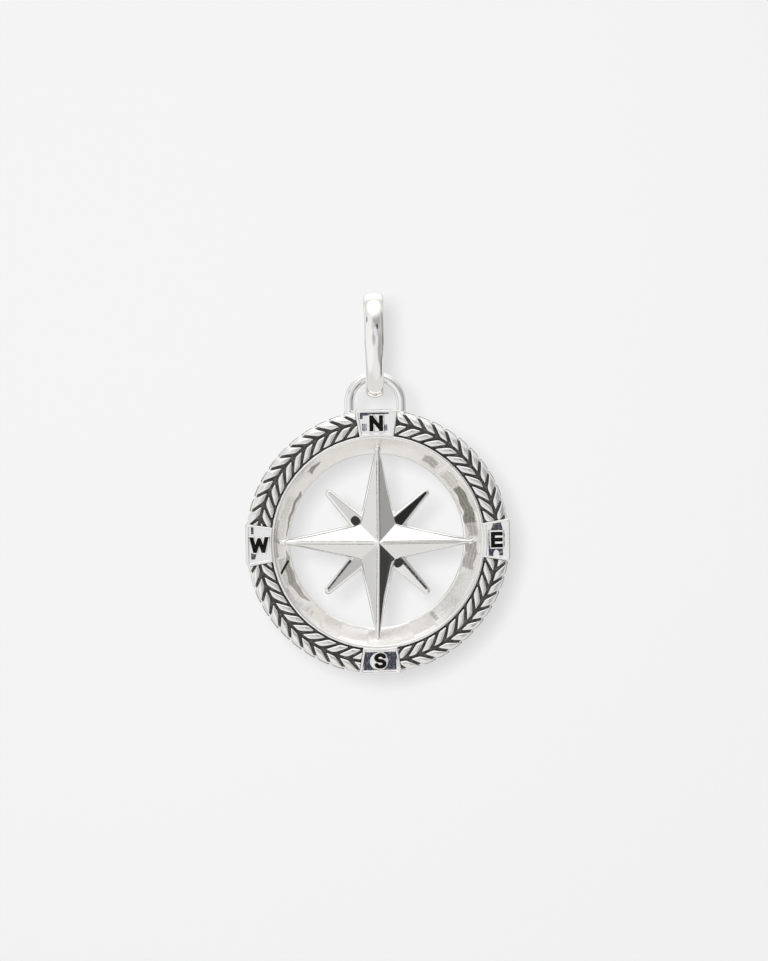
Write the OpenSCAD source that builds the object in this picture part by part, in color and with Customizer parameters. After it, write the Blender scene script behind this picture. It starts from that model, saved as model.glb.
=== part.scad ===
// Compass-rose pendant in polished silver.
// A cast ring carries a woven border, four letter plaques and an eight-pointed star,
// and its wire loop hangs from an upright oval bail.
// Millimetres. The origin is the chain seat, at the top of the bail's opening.
// X runs to the viewer's right, Y away from the viewer and Z up.

/* [Ring] */
// Width of the ring across its plaques
ring_d = 32; // [31:0.5:33]
// Thickness of the ring, from its flat back to the plaques' rims
ring_h = 3.1; // [3:0.05:3.3]
// Clear width of the opening at the back
opening_d = 21.2; // [20.5:0.1:21.8]
// Outer width of the polished lip that edges the opening
lip_d = 26; // [25.6:0.1:26.2]
// Radial width of the lip's rounded top
lip_w = 0.5; // [0.4:0.05:0.6]
// Height of the lip above the back
lip_h = 2.8; // [2.6:0.05:2.9]
// Height of the border channel's floor above the back
channel_h = 2.12; // [2.1:0.01:2.15]

/* [Woven border] */
// Leaves that a row would have in a whole turn
leaf_count = 54; // [48:1:60]
// Slant of a leaf, measured from the ring's tangent
leaf_slant = 32; // [26:1:38]
// Length of a leaf
leaf_l = 2.4; // [2.2:0.05:2.6]
// Width of a leaf in the outer row
outer_leaf_w = 0.94; // [0.8:0.02:0.98]
// Width of a leaf in the inner row
inner_leaf_w = 0.84; // [0.7:0.02:0.88]
// Height of the leaves' crests above the ring's back
leaf_crest = 3.02; // [2.9:0.02:3.1]

/* [Plaques] */
// Angle that a plaque fills, seen from the ring's centre
plaque_angle = 18.6; // [17:0.2:20]
// Width of a plaque's raised rim
rim_w = 0.32; // [0.25:0.01:0.4]
// Depth of a plaque's field below its rim
field_depth = 0.3; // [0.2:0.02:0.4]
// Height of a letter
letter_h = 1.87; // [1.6:0.01:2]
// Width of a letter's strokes
stroke_w = 0.42; // [0.34:0.02:0.46]
// Depth of a letter below the plaque's field
letter_depth = 0.22; // [0.15:0.01:0.3]

/* [Star] */
// Height of the star's centre above the ring's back
star_apex = 3.45; // [3.2:0.05:3.6]
// Height of the star's flat back above the ring's back
star_back = 0.85; // [0.7:0.05:0.95]
// Distance from the centre to a long point's end, inside the ring's wall
long_reach = 12.28; // [12:0.02:12.4]
// Height of a long point's ridge at its end
long_tip_h = 1.9; // [1.7:0.05:2]
// Half the width of a long point at its root
long_root = 2.19; // [2:0.01:2.3]
// Height of the corners between two long points
root_h = 1.8; // [1.6:0.05:1.9]
// Distance from the centre to a short point's end
short_reach = 8.77; // [8.4:0.01:9]
// Half the width of a short point at its root
short_root = 1.1; // [1:0.01:1.2]
// Radius of a short point's rounded end
short_tip_r = 0.48; // [0.4:0.01:0.55]
// Downward slope of a short point's flat top
short_slope = 6; // [4:0.5:7]

/* [Loop] */
// Thickness of the loop's wire
wire_d = 1.16; // [1:0.02:1.2]
// Outer width of the loop
loop_w = 7.44; // [7.2:0.02:7.8]
// Height of the loop's top above the ring's outer edge
loop_rise = 4.62; // [4.5:0.02:4.7]

/* [Bail] */
// Height of the bail
bail_h = 12.68; // [12.5:0.02:13.4]
// Depth of the bail at its widest, from front to back
bail_d = 7.6; // [7.5:0.1:8]
// How much the bail is fuller at its top than at its foot, as a share of its depth
bail_taper = 0.3; // [0.2:0.02:0.34]
// Width of the bail's band
bail_w = 2.48; // [2.2:0.02:2.6]
// Width of the band at the foot, where it carries the loop
foot_w = 2; // [1.8:0.02:2.1]
// Thickness of the band
bail_t = 1.3; // [1.1:0.05:1.4]
// Thickness of the band at the foot
foot_t = 1.7; // [1.6:0.02:1.74]
// Gap between the bail's foot and the ring's top plaque
foot_gap = 1.45; // [1.44:0.01:1.5]

/* [Hidden] */
silver = "#dedfdd";
dark_silver = "#8d8d8b";

// Clearance between a border piece and the channel that holds it
seat_gap = 0.03;
ring_r = ring_d/2;
lip_r = lip_d/2;
// Radius of the ring's side wall, which the border's leaves overhang a little
wall_r = ring_r - 0.2;
back_round = 0.5;
// Height of the narrow upright edge round the opening, at the back
edge_h = 0.4;
wire_r = wire_d/2;
// Radius of the loop's arch, at the middle of its wire
arch_r = loop_w/2 - wire_r;
// Distance from the ring's centre up to the arch's centre
arch_y = ring_r + loop_rise - wire_r - arch_r;
// Height of the loop's wire above the ring's back, level with the medallion's centre of mass
wire_mid = 1.32;
// The ring's centre lies this far below the origin
drop = ring_r + foot_gap + bail_h - bail_t;

// Radius of the middle of each row of leaves
outer_row_r = ring_r - 0.62;
inner_row_r = lip_r + 0.98;
// Thickness of the strip that the leaves stand on, and how far it hangs over the ring's side
strip_h = 0.2;
strip_over = 0.08;
// Bearing of the first leaf's middle, counted from the plaque before it
first_leaf = 14.3;
// Width of a leaf near its ends
leaf_end_w = 0.58;
// Distance from the ring's centre to the middle of a letter
letter_r = 14.4;

// Points of an arc in the plane, from angle a to angle b
function arc(cx, cy, r, a, b, steps) =
    [for (i = [0:steps]) let (t = a + (b - a)*i/steps) [cx + r*cos(t), cy + r*sin(t)]];

// Medallion parts are drawn flat, with their back on z = 0 and north along +y,
// and this stands them up behind the loop's wire.
module hang() {
    translate([0, wire_mid, -drop]) rotate([90, 0, 0]) children();
}

// Section of the ring, as radius and height: flat back, round outer edge, border channel,
// rounded lip and the sloping wall down to the opening
function ring_section() = concat(
    [[opening_d/2, 0]],
    arc(wall_r - back_round, back_round, back_round, -90, 0, 5),
    [[wall_r, channel_h], [lip_r, channel_h]],
    arc(lip_r - lip_w/2, lip_h - lip_w/2, lip_w/2, 0, 150, 6),
    [[opening_d/2, edge_h]]
);

module ring_body() {
    rotate_extrude($fn = 120) polygon(ring_section());
}

// Plan of a plaque at the top of the ring: straight outside, radial sides, and round
// inside, where it reaches onto the lip. An inset draws the plan of its field.
module plaque_plan(inset) {
    half = plaque_angle/2;
    outside = ring_r - inset;
    inside = lip_r - lip_w;
    side = inset/cos(half);
    difference() {
        polygon([[side - outside*tan(half), outside], [outside*tan(half) - side, outside],
                 [inside*tan(half) - side, inside], [side - inside*tan(half), inside]]);
        circle(r = inside + lip_w*0.7 + inset, $fn = 120);
    }
}

// The four letters are drawn upright from plain strokes, centred on their own middle.
module stroke(p, q) {
    length = norm(q - p);
    translate(p) rotate(atan2(q[1] - p[1], q[0] - p[0]))
        translate([-stroke_w/2, -stroke_w/2]) square([length + stroke_w, stroke_w]);
}

module letter_box() {
    intersection() {
        children();
        square([3, letter_h], center = true);
    }
}

module letter_n() {
    // The two upright strokes stand at x to either side, and end at y above and below
    x = 0.58;
    y = letter_h/2 - stroke_w/2;
    letter_box() {
        stroke([-x, -y], [-x, y]);
        stroke([x, -y], [x, y]);
        stroke([-x, y], [x, -y]);
    }
}

module letter_e() {
    // The upright stroke stands at x to the left, and the arms reach x to the right
    x = 0.48;
    y = letter_h/2 - stroke_w/2;
    letter_box() {
        stroke([-x, -y], [-x, y]);
        for (v = [-y, 0, y]) stroke([-x, v], [x, v]);
    }
}

module letter_w() {
    top = letter_h/2;
    // Half the distance between the two outer tops, and between the two feet
    top_x = 0.92;
    foot_x = 0.5;
    foot_y = 0.14 - top;
    peak_y = top - 0.3;
    letter_box() for (side = [-1, 1]) {
        stroke([side*top_x, top], [side*foot_x, foot_y]);
        stroke([side*foot_x, foot_y], [0, peak_y]);
    }
}

// Middle line of the letter S: an upper bow and a lower bow that meet in the centre
function s_line() =
    let (rx = 0.5, ry = (letter_h - stroke_w)/4)
    concat([for (t = [20:14:258]) [rx*cos(t), ry + ry*sin(t)]], [[0, 0]],
           [for (t = [78:-14:-160]) [rx*cos(t), -ry + ry*sin(t)]]);

module letter_s() {
    line = s_line();
    last = len(line) - 1;
    normals = [for (i = [0:last])
        let (d = line[min(i + 1, last)] - line[max(i - 1, 0)]) [-d[1], d[0]]/norm(d)];
    polygon(concat([for (i = [0:last]) line[i] + normals[i]*stroke_w/2],
                   [for (i = [last:-1:0]) line[i] - normals[i]*stroke_w/2]));
}

// A plaque stands on the ring at a compass bearing.
module plaque(bearing) {
    rotate(-bearing) translate([0, 0, back_round])
        linear_extrude(ring_h - back_round) plaque_plan(0);
}

// What is sunk into a plaque: its field, and below that the letter given as a child
module plaque_cut(bearing) {
    field_h = ring_h - field_depth;
    rotate(-bearing) translate([0, 0, field_h]) linear_extrude(ring_h) plaque_plan(rim_w);
    translate([letter_r*sin(bearing), letter_r*cos(bearing), field_h - letter_depth])
        linear_extrude(ring_h) children();
}

// Long points of the star: sharp ridges from the raised centre, with valleys between
module long_points() {
    turns = [0:90:270];
    centre = [[0, 0, star_apex], [0, 0, star_back]];
    tips = [for (h = [long_tip_h, star_back]) for (t = turns)
        [long_reach*sin(t), long_reach*cos(t), h]];
    corners = [for (h = [root_h, star_back]) for (t = turns)
        [long_root*(sin(t) + cos(t)), long_root*(cos(t) - sin(t)), h]];
    // Index of the tip or the corner of a quarter, at the top and at the back
    function tip(q, back) = 2 + back*4 + q%4;
    function corner(q, back) = 10 + back*4 + q%4;
    faces = [for (q = [0:3]) each [
        [0, tip(q, 0), corner(q, 0)],
        [0, corner(q, 0), tip(q + 1, 0)],
        [1, corner(q, 1), tip(q, 1)],
        [1, tip(q + 1, 1), corner(q, 1)],
        [tip(q, 0), tip(q, 1), corner(q, 1), corner(q, 0)],
        [corner(q, 0), corner(q, 1), tip(q + 1, 1), tip(q + 1, 0)]
    ]];
    polyhedron(points = concat(centre, tips, corners), faces = faces);
}

// Short point of the star: a flat-topped blade with a rounded end, thinner towards it
module short_point() {
    root_y = 2.6;
    end_y = short_reach - short_tip_r;
    block = 10;
    intersection() {
        translate([0, 0, star_back]) linear_extrude(block) polygon(concat(
            [[short_root, root_y]], arc(0, end_y, short_tip_r, 5, 175, 12),
            [[-short_root, root_y]]));
        // Everything under the sloping top, which starts at the corner of the long points
        translate([0, long_root*sqrt(2), root_h]) rotate([-short_slope, 0, 0])
            translate([-block/2, -block/2, -block]) cube([block, 2*block, block]);
    }
}

// Wire loop that the medallion hangs by, with its legs let into the ring
module loop() {
    leg_foot = wall_r - wire_d;
    translate([0, 0, wire_mid]) {
        translate([0, arch_y, 0]) rotate_extrude(angle = 180, $fn = 96)
            translate([arch_r, 0]) circle(r = wire_r, $fn = 32);
        for (side = [-1, 1]) translate([side*arch_r, leg_foot, 0])
            rotate([-90, 0, 0]) cylinder(r = wire_r, h = arch_y - leg_foot, $fn = 32);
    }
}

// Ring, plaques, star and loop are cast or soldered into one solid.
module frame() {
    color(silver) hang() {
        difference() {
            union() {
                ring_body();
                for (turn = [0:90:270]) plaque(turn);
            }
            plaque_cut(0) letter_n();
            plaque_cut(90) letter_e();
            plaque_cut(180) letter_s();
            plaque_cut(270) letter_w();
        }
        long_points();
        for (turn = [45:90:315]) rotate(turn) short_point();
        loop();
    }
}

// One leaf of the weave, lying along +x: full in the middle and lower at its ends
module leaf(width) {
    rise = leaf_crest - channel_h - seat_gap;
    belly_l = leaf_l*0.7;
    end_rise = rise*0.66;
    hull() {
        resize([belly_l, width, 2*rise]) sphere(d = 1, $fn = 10);
        for (side = [-1, 1]) translate([side*(leaf_l - leaf_end_w)/2, 0, 0])
            resize([leaf_end_w, leaf_end_w, 2*end_rise]) sphere(d = 1, $fn = 8);
    }
}

// A quarter of the woven border: a strip in the channel with two rows of slanted leaves
module border(quarter) {
    start = quarter*90;
    pitch = 360/leaf_count;
    // Bearing of the border's end, clear of the plaque's side
    end_angle = plaque_angle/2 + atan(seat_gap/lip_r);
    wedge_h = 2;
    color(dark_silver) hang() translate([0, 0, channel_h + seat_gap]) intersection() {
        union() {
            difference() {
                cylinder(r = wall_r + strip_over, h = strip_h, $fn = 120);
                translate([0, 0, -strip_h])
                    cylinder(r = lip_r + seat_gap, h = 3*strip_h, $fn = 120);
            }
            for (k = [-1:11]) rotate(-(start + first_leaf + k*pitch)) {
                translate([0, outer_row_r, 0]) rotate(-leaf_slant) leaf(outer_leaf_w);
                translate([0, inner_row_r, 0]) rotate(leaf_slant) leaf(inner_leaf_w);
            }
        }
        // Wedge between two plaques, round along the ring's outer edge
        rotate(-start) linear_extrude(wedge_h) polygon(concat([[0, 0]],
            arc(0, 0, ring_r, 90 - end_angle, end_angle, 24)));
    }
}

module border_ne() { border(0); }
module border_se() { border(1); }
module border_sw() { border(2); }
module border_nw() { border(3); }

// Section of the bail's band: domed outside, nearly flat inside, with soft edges.
// Each point gives its place across the width and its place from the inside, 0, to the outside, 1.
bail_section = concat(
    [[-0.36, 0], [0.36, 0], [0.46, 0.07], [0.5, 0.2], [0.5, 0.5]],
    [for (t = [18:18:162]) [0.5*cos(t), 0.5 + 0.5*pow(sin(t), 0.8)]],
    [[-0.5, 0.5], [-0.5, 0.2], [-0.46, 0.07]]);

// Half the depth of the bail's egg-shaped outline, from 0 to 1. Turn 0 is its top and 180
// its foot.
function egg(turn) =
    let (full = function (t) pow(abs(sin(t)), 0.8)*(1 + bail_taper*cos(t)))
    sign(sin(turn))*full(turn)/max([for (t = [40:2:100]) full(t)]);

// Outlines of the bail's opening and of its outside, each as half its depth and its height
inside = [bail_d/2 - bail_t, bail_h - bail_t - foot_t];
outside = [bail_d/2, bail_h];

module bail() {
    steps = 48;
    sections = [for (i = [0:steps - 1])
        let (turn = 360*i/steps,
             width = bail_w - (bail_w - foot_w)*sqrt(max(0, -cos(turn))),
             a = [inside[0]*egg(turn), -inside[1]*(1 - cos(turn))/2],
             b = [outside[0]*egg(turn), bail_t - outside[1]*(1 - cos(turn))/2])
        [for (p = bail_section) [p[0]*width, each (a + (b - a)*p[1])]]];
    n = len(bail_section);
    faces = [for (i = [0:steps - 1]) for (j = [0:n - 1])
        let (i2 = (i + 1)%steps, j2 = (j + 1)%n)
        [i*n + j, i2*n + j, i2*n + j2, i*n + j2]];
    color(silver) polyhedron(points = [for (s = sections) each s], faces = faces, convexity = 4);
}

bail();
frame();
border_ne();
border_se();
border_sw();
border_nw();
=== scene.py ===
# %% [markdown]
# # A compass pendant in polished silver
# The object is a cast silver ring with a woven border, four letter plaques and an eight-pointed
# star, hanging by a wire loop from an upright bail. This lesson dresses it for its portrait:
# every surface is built from a formula as a grid of points, and gets a material with fine detail.
#
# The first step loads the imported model. It fixes the size and the place of everything,
# so the lesson takes its main measurements from the model's own boxes.

import math

import bmesh
import bpy
import numpy as np
from mathutils import Matrix, Vector


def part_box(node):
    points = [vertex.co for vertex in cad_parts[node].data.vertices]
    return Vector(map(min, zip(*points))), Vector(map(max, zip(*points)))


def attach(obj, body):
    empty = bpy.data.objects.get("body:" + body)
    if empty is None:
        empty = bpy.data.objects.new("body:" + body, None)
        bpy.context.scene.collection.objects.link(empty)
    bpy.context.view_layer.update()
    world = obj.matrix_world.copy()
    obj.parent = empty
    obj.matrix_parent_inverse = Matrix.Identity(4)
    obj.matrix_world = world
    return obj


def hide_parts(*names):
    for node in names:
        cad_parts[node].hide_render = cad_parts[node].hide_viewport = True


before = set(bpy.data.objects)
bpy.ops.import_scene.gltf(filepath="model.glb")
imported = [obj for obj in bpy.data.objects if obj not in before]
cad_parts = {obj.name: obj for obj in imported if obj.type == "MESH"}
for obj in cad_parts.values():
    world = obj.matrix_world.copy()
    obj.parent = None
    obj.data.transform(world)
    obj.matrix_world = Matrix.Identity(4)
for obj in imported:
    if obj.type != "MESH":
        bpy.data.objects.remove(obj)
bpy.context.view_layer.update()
MM = 0.001
frame_low, frame_high = (np.array(corner)/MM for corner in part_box("frame"))
bail_low, bail_high = (np.array(corner)/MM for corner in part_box("bail"))
RING_R = frame_high[0]
RING_CENTRE = np.array([0, frame_high[1], frame_low[2] + RING_R])
print(f"ring radius {RING_R:.2f} mm, its centre {-RING_CENTRE[2]:.2f} mm below the chain seat")

# %% [markdown]
# ## From a flat drawing to a hanging medallion
# A jeweller draws a medallion flat on the bench: right, north, and height above its back.
# The real one hangs upright, facing the viewer, who stands at -Y. One function turns the drawing
# up and puts it in place, so that every later formula can stay flat and simple.

# %% Stand a flat drawing up in the frame
def stand(right, north, height):
    """Points of the flat medallion, in millimetres, as points of the frame, in metres."""
    right, north, height = np.broadcast_arrays(right, north, height)
    return np.stack([right, RING_CENTRE[1] - height, RING_CENTRE[2] + north], axis=-1)*MM


def stand_round(radius, turn, height):
    """The same for points given by their distance from the centre and their turn from north."""
    return stand(radius*np.sin(turn), radius*np.cos(turn), height)


def turned(right, north, bearing):
    """Turn plan points clockwise from north to a compass bearing, in degrees."""
    c, s = math.cos(math.radians(bearing)), math.sin(math.radians(bearing))
    return right*c + north*s, north*c - right*s


def beside(*grids):
    """Put grids with as many rows side by side."""
    return np.concatenate(grids, axis=1)


def full_turn(count):
    """Angles evenly round a circle, in radians, without its end, which is its start."""
    return np.linspace(0, 2*math.pi, count, endpoint=False)


def smooth(value, start, end):
    """A soft step from 0 at start to 1 at end."""
    t = np.clip((value - start)/(end - start), 0, 1)
    return t*t*(3 - 2*t)


print("the ring's north edge stands at", stand(0, RING_R, 0).round(4), "m")

# %% [markdown]
# ## Grids become pieces
# Blender's own primitives are too plain for jewellery, and sculpting isn't repeatable. A grid
# of points with quads between them is both exact and quick: a patch is bent from it by formula,
# several patches are joined into one mesh, and doubled points are welded. Two things travel
# with each point: how much black tarnish and painted shade it holds, and where it lies in the
# metal's grain, in millimetres along and across it.
# Edges that turn by more than a given angle stay crisp, and all others are shaded smooth.

# %% Patches of points
def patch(points, tarnish_and_painted_shade=0.0, grain=None, ring=False, tube=False):
    """One grid of points. A ring closes its rows into a circle, and a tube its columns."""
    rows, columns = points.shape[:2]
    tarnish_and_painted_shade = np.broadcast_to(tarnish_and_painted_shade, (rows, columns))
    if grain is None:
        grain = points[..., 0]/MM, points[..., 2]/MM
    grain = np.stack(np.broadcast_arrays(*grain), axis=-1)
    r, c = np.meshgrid(np.arange(rows if ring else rows - 1),
                       np.arange(columns if tube else columns - 1), indexing="ij")
    r2, c2 = (r + 1) % rows, (c + 1) % columns
    corners = [r*columns + c, r*columns + c2, r2*columns + c2, r2*columns + c]
    return {"points": points.reshape(-1, 3), "faces": np.stack(corners, -1).reshape(-1, 4),
            "tarnish_and_painted_shade": tarnish_and_painted_shade.reshape(-1), "grain": grain.reshape(-1, 2)}


sample = patch(stand(*np.meshgrid([0, 1, 2], [0, 1]), 0))
print(f"2 rows of 3 points make {len(sample['faces'])} faces")

# %% Pieces made of patches
def add_object(name, data):
    """Put a new object into the scene."""
    thing = bpy.data.objects.new(name, data)
    bpy.context.scene.collection.objects.link(thing)
    return thing


def make_piece(name, patches, body, material, crisp=35.0, weld=0.002):
    """Join patches into one closed, smooth-shaded mesh that rides on a body."""
    starts = np.cumsum([0] + [len(p["points"]) for p in patches[:-1]])
    faces = np.concatenate([p["faces"] + start for p, start in zip(patches, starts)])
    points, tarnish_and_painted_shade, grain = (np.concatenate([p[key] for p in patches])
                              for key in ("points", "tarnish_and_painted_shade", "grain"))
    mesh = bpy.data.meshes.new(name)
    mesh.from_pydata(points.tolist(), [], faces.tolist())
    # The stored value holds real blackening, and also painted shade and painted reflections
    mesh.attributes.new("tarnish_and_painted_shade", "FLOAT", "POINT").data.foreach_set("value", tarnish_and_painted_shade)
    mesh.uv_layers.new(name="grain").data.foreach_set("uv", grain[faces.reshape(-1)].reshape(-1))
    close_mesh(mesh, weld*MM)
    mesh.shade_smooth()
    mesh.set_sharp_from_angle(angle=math.radians(crisp))
    mesh.materials.append(material)
    piece = add_object(name, mesh)
    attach(piece, body)
    triangles = sum(len(p.vertices) - 2 for p in mesh.polygons)
    size = np.ptp(points, axis=0)/MM
    print(f"{name}: {triangles} triangles, {size[0]:.2f} x {size[1]:.2f} x {size[2]:.2f} mm")
    return piece


def close_mesh(mesh, weld):
    """Weld doubled points, close open ends and turn every face outwards."""
    work = bmesh.new()
    work.from_mesh(mesh)
    bmesh.ops.remove_doubles(work, verts=work.verts, dist=weld)
    open_edges = [edge for edge in work.edges if edge.is_boundary]
    bmesh.ops.holes_fill(work, edges=open_edges, sides=0)
    bmesh.ops.recalc_face_normals(work, faces=work.faces)
    work.to_mesh(mesh)
    work.free()


# %% [markdown]
# ## Nodes as a recipe
# A material in Blender is a tree of nodes: each works out one pattern, sum or mixture and hands
# it on to the next. The trees could be laid by hand in the node editor. Written with a few
# helpers, a finish reads like a recipe from top to bottom, and can be mixed again with other
# amounts.

# %% Helpers for nodes
def feed(node, inputs):
    """Give each input, by its name or number, a value, or link the output of a node to it."""
    for key, value in inputs.items():
        if isinstance(value, bpy.types.NodeSocket):
            node.id_data.links.new(value, node.inputs[key])
        else:
            node.inputs[key].default_value = value


def add_node(tree, kind, inputs=None, **settings):
    """Add a node of a kind with its settings, and feed its inputs."""
    node = tree.nodes.new(kind)
    for key, value in settings.items():
        setattr(node, key, value)
    feed(node, inputs or {})
    return node


def remap(tree, source, kind="LINEAR", **limits):
    """Spread a value between limits, such as From_Min, over others, such as To_Min."""
    inputs = {name.replace("_", " "): value for name, value in limits.items()}
    inputs["Value"] = source
    return add_node(tree, "ShaderNodeMapRange", inputs, interpolation_type=kind).outputs["Result"]


def soft_step(tree, source, start, end):
    """The smooth step from above, as a node: 0 up to the start, and 1 from the end."""
    return remap(tree, source, "SMOOTHSTEP", From_Min=start, From_Max=end)


def noise(tree, vector, scale, detail=3.0, stretch=(1, 1, 1)):
    """A noise value over a vector that is stretched first."""
    mapping = add_node(tree, "ShaderNodeMapping", {"Vector": vector, "Scale": stretch})
    inputs = {"Vector": mapping.outputs["Vector"], "Scale": scale, "Detail": detail}
    return add_node(tree, "ShaderNodeTexNoise", inputs).outputs["Fac"]


def blend(tree, amount, first, second):
    """A colour between two others, each of which is a colour or the output of a node."""
    first, second = ((*c, 1) if isinstance(c, tuple) else c for c in (first, second))
    inputs = {"Factor": amount, 6: first, 7: second}
    return add_node(tree, "ShaderNodeMix", inputs, data_type="RGBA").outputs[2]


# %% [markdown]
# ## Silver, bright and blackened
# Polished silver is a mirror with a faint warm tint. What makes it look real isn't its colour
# but what it mirrors, and the small flaws of hand polishing: a wavy skin, hairlines left by
# the buffing wheel, and slightly duller and brighter places. Its black recesses are silver too,
# darkened with liver of sulphur and rubbed off where a polishing cloth can reach. So one
# material serves both, and the value stored with each point blends between them: tarnish, and
# in some places painted shade and painted reflections, which darken the colour in the same way.

# %% Make the silver
SILVER = (0.955, 0.945, 0.925)
# Fineness of the patterns, in waves a metre: rubbing of the cloth, duller places, grain of the
# black, clouds in the colour, worn spots in the black, and the wavy skin
RUBBED, HANDLED, MATT, CLOUDS, SPOTS, SKIN = 4200.0, 260.0, 6000.0, 420.0, 1900.0, 700.0
# Hairlines: their waves in a millimetre, and the share of these along the grain and across it
HAIRS, HAIR_STRETCH = 6.0, (0.6, 6, 1)
# How much tarnish and painted shade starts and ends each change: to a dull smoky skin, and on to black
DULLING, BLACKENING = (0.35, 0.65), (0.78, 0.92)
# The values of their pattern from which the worn spots start to show, and show in full
SPOTS_SHOW = (0.45, 0.75)


def silver(name, smoke_and_painted, black, worn, broken, gloss, dull, wave, hairline):
    """Silver darkened by the stored attribute, which holds blackening and painted shade: smoky at a
    half, and black at 1.
    """
    material = bpy.data.materials.new(name)
    material.use_nodes = True
    tree = material.node_tree
    place = add_node(tree, "ShaderNodeTexCoord").outputs["Object"]
    along = add_node(tree, "ShaderNodeUVMap", uv_map="grain").outputs["UV"]
    tarnish_and_painted_shade = add_node(tree, "ShaderNodeAttribute", attribute_name="tarnish_and_painted_shade").outputs["Fac"]
    # The edge of the black breaks up where the cloth has rubbed it
    rubbed = {0: noise(tree, place, RUBBED, 4.0), 1: broken, 2: -broken/2}
    edge = add_node(tree, "ShaderNodeMath", rubbed, operation="MULTIPLY_ADD")
    total = add_node(tree, "ShaderNodeMath", {0: tarnish_and_painted_shade, 1: edge.outputs[0]}, operation="ADD")
    share = soft_step(tree, total.outputs[0], *DULLING)
    # Polished skin: a little duller in some places than in others
    handled = remap(tree, noise(tree, place, HANDLED), To_Min=gloss*0.6, To_Max=gloss*1.4)
    matt = remap(tree, noise(tree, place, MATT), To_Min=dull*0.8, To_Max=dull*1.2)
    both = {"Factor": share, 2: handled, 3: matt}
    roughness = add_node(tree, "ShaderNodeMix", both, data_type="FLOAT").outputs[0]
    # Faint clouds in the metal's own colour, then the smoky layer over it, which in places is
    # painted shade and painted reflection, then the black, which is worn grey in spots
    clouds = blend(tree, noise(tree, place, CLOUDS), tuple(c*0.95 for c in SILVER), SILVER)
    spots = noise(tree, place, SPOTS, 2.0)
    spots = remap(tree, spots, From_Min=SPOTS_SHOW[0], From_Max=SPOTS_SHOW[1])
    worn_black = blend(tree, spots, black, worn)
    colour = blend(tree, share, clouds, smoke_and_painted)
    colour = blend(tree, soft_step(tree, tarnish_and_painted_shade, *BLACKENING), colour, worn_black)
    # The wavy skin, and over it the hairlines along the grain
    skin = add_node(tree, "ShaderNodeBump", {
        "Strength": 1.0, "Distance": wave*MM, "Height": noise(tree, place, SKIN, 2.0)})
    lines = add_node(tree, "ShaderNodeBump", {
        "Strength": 1.0, "Distance": hairline*MM, "Normal": skin.outputs["Normal"],
        "Height": noise(tree, along, HAIRS, 4.0, stretch=HAIR_STRETCH)})
    feed(tree.nodes["Principled BSDF"], {"Metallic": 1.0, "Base Color": colour,
                                         "Roughness": roughness, "Normal": lines.outputs["Normal"]})
    return material


# %% [markdown]
# The pendant needs four finishes of this silver. The bail, the star and the loop are polished
# bright. The ring was rubbed by hand and has a more uneven skin, and its smoky colour is a
# brown-grey that paints the reflections on its wall. The dark fields of the plaques have a blue
# cast, as a thin layer of sulphide has, and the woven border keeps a softer, greyer black between
# leaves that were only brushed.

# %% Mix the four finishes
# The grey smoky colour also paints the dark lines of painted shade and painted reflection on the star;
# the brown one of the ring paints the reflections on its wall
GREY_SMOKE_AND_SHADE, BLACK, WORN = (0.06, 0.06, 0.058), (0.014, 0.014, 0.014), (0.03, 0.03, 0.03)
BLUE_SMOKE, BROWN_WALL_REFLECTION = (0.075, 0.078, 0.105), (0.2, 0.185, 0.165)
WOVEN_BLACK, WOVEN_WORN = (0.1, 0.096, 0.09), (0.25, 0.243, 0.232)
# Colours of the smoky layer, the black and its worn spots, how broken the tarnish is, roughness
# of the skin and of the black, and depth in millimetres of the skin's waves and its hairlines
polished = silver("polished_silver", GREY_SMOKE_AND_SHADE, BLACK, WORN, 0.3, 0.05, 0.3, 0.006, 0.0015)
hand_rubbed = silver("hand_rubbed_silver", BROWN_WALL_REFLECTION, BLACK, WORN, 0.1, 0.1, 0.3, 0.014, 0.006)
blue_black = silver("blue_black_silver", BLUE_SMOKE, BLACK, WORN, 0.5, 0.07, 0.38, 0.008, 0.002)
brushed = silver("woven_silver", GREY_SMOKE_AND_SHADE, WOVEN_BLACK, WOVEN_WORN, 0.5, 0.15, 0.45, 0.008, 0.012)
print("materials:", [finish.name for finish in (polished, hand_rubbed, blue_black, brushed)])

# %% [markdown]
# ## The bail
# The bail is a band of silver bent into an egg shape, domed outside and nearly flat inside, with
# a thicker and narrower foot that carries the loop. It could be a curve with a bevel, but its
# thickness changes on the way round, so it is lofted: one outline for its outside, one for its
# opening, and a section of the band between them at each step.

# %% Draw the bail's outline
BAND_T, FOOT_T, BAND_W, FOOT_W = 1.3, 1.7, 2.48, 2.16
# How egg-shaped the bail is, how pointed its ends are, and how much narrower its top is
BAIL_TAPER, BAIL_ENDS, TOP_NARROWER = 0.3, 0.8, 0.14
# How far the dome falls to its edges, softly over its breadth and steeply at its shoulders, as
# shares of half the width, and how square the corners inside are: 1 is round, less is squarer
DOME_SOFT, DOME_STEEP, INSIDE = 0.225, 0.12, 0.36
# The bail hangs loose, and has turned a little about the upright, in degrees
BAIL_TURN = 4.1
# Millimetres of grain in a turn of one radian, and over the whole width of the band
BAIL_GRAIN = (6, 2.5)


def egg(turn):
    """Half the depth of the bail's outline, from 0 to 1. Turn 0 is its top and pi its foot."""
    def full(t):
        return np.abs(np.sin(t))**BAIL_ENDS*(1 + BAIL_TAPER*np.cos(t))
    widest = full(np.radians(np.arange(40, 101, 2))).max()
    return np.sign(np.sin(turn))*full(turn)/widest


def squarish(value, power):
    """A power that keeps the sign: it squares up a circle's sine and cosine."""
    return np.sign(value)*np.abs(value)**power


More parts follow.
